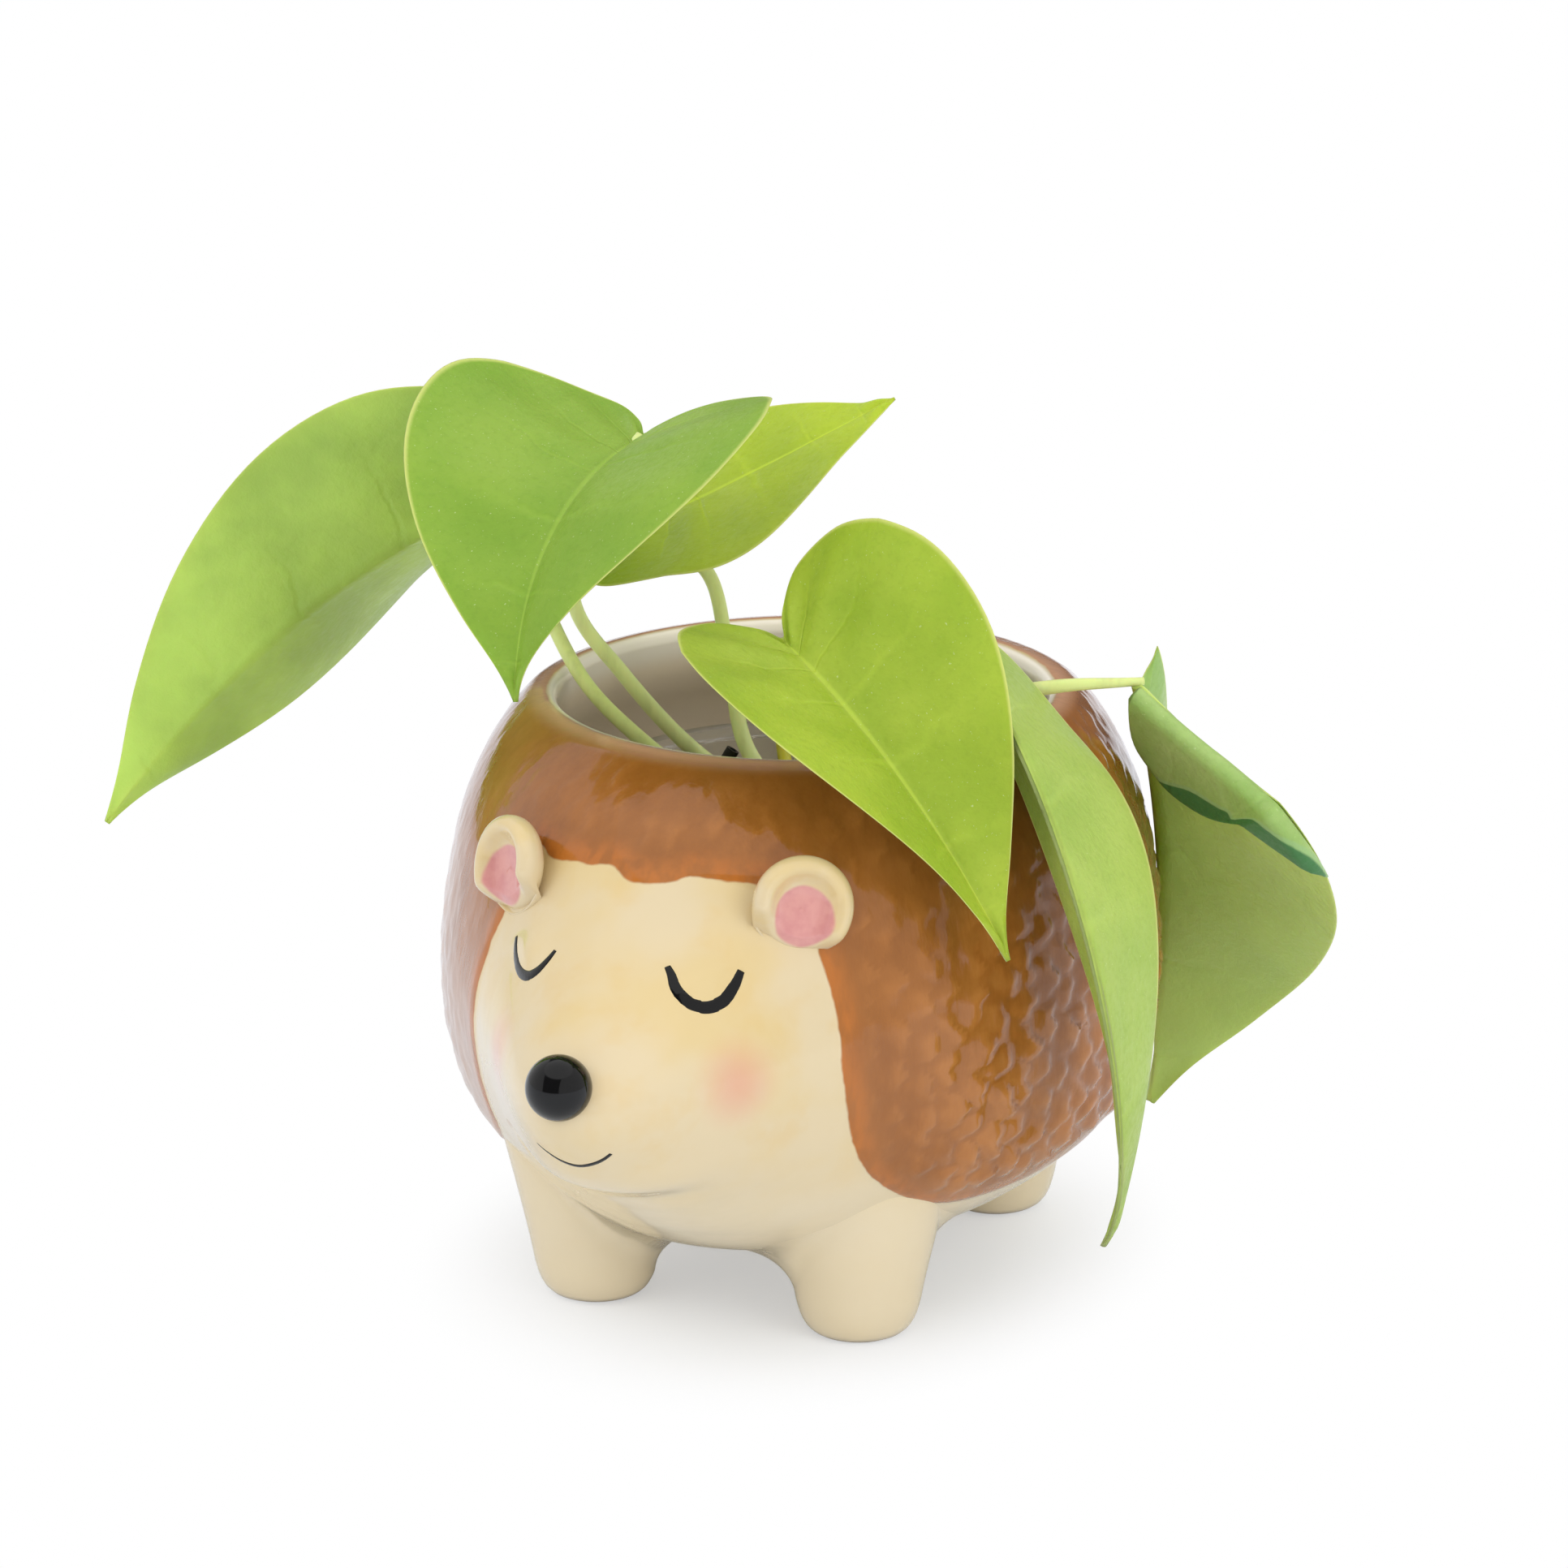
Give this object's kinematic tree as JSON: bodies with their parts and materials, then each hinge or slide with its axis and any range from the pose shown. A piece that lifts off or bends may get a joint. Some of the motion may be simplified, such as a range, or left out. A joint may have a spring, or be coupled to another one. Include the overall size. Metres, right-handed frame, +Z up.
{
  "type": "animal shaped planter",
  "caption": "Hedgehog-shaped glazed ceramic planter on short legs, with a lift-out clear liner cup that holds a small heart-leaved vine.",
  "frame": {"origin": "on the plane that the four feet stand on, in the middle between the feet", "axes": "+Z up, -Y the way the animal looks, +X its left side"},
  "size_m": [0.1991, 0.163, 0.1454],
  "materials": {
    "cream_glaze": "clear-glazed cream ceramic with a brushed brown coat",
    "ear_glaze": "clear-glazed brown and pink ceramic",
    "black_glaze": "gloss black glaze",
    "clear_plastic": "thin clear moulded plastic",
    "potting_mix": "damp peaty mix",
    "green_stem": "smooth green plant stem",
    "leaf": "satin yellow-green leaf",
    "yellow_stem": "yellowed plant stem",
    "black_plastic": "black plastic tube"
  },
  "bodies": {
    "pot": {"pot_shell": "cream_glaze", "left_ear": "ear_glaze", "right_ear": "ear_glaze", "nose": "black_glaze"},
    "liner": {"liner_cup": "clear_plastic"},
    "plant": {"potting_mix": "potting_mix", "vine_crown": "green_stem", "petiole_left": "green_stem", "petiole_front": "green_stem", "petiole_back": "green_stem", "petiole_centre": "green_stem", "petiole_side": "green_stem", "petiole_curled": "green_stem", "leaf_left": "leaf", "leaf_front": "leaf", "leaf_back": "leaf", "leaf_centre": "leaf", "leaf_side": "leaf", "leaf_curled": "leaf", "old_petiole": "yellow_stem", "support_stake": "black_plastic"}
  },
  "joints": [
    {"name": "liner_lift", "type": "slide", "parent": "pot", "child": "liner", "axis": [0, 0, 1], "range_m": [0, 0.085]},
    {"name": "root_ball_lift", "type": "slide", "parent": "liner", "child": "plant", "axis": [0, 0, 1], "range_m": [0, 0.065]}
  ]
}
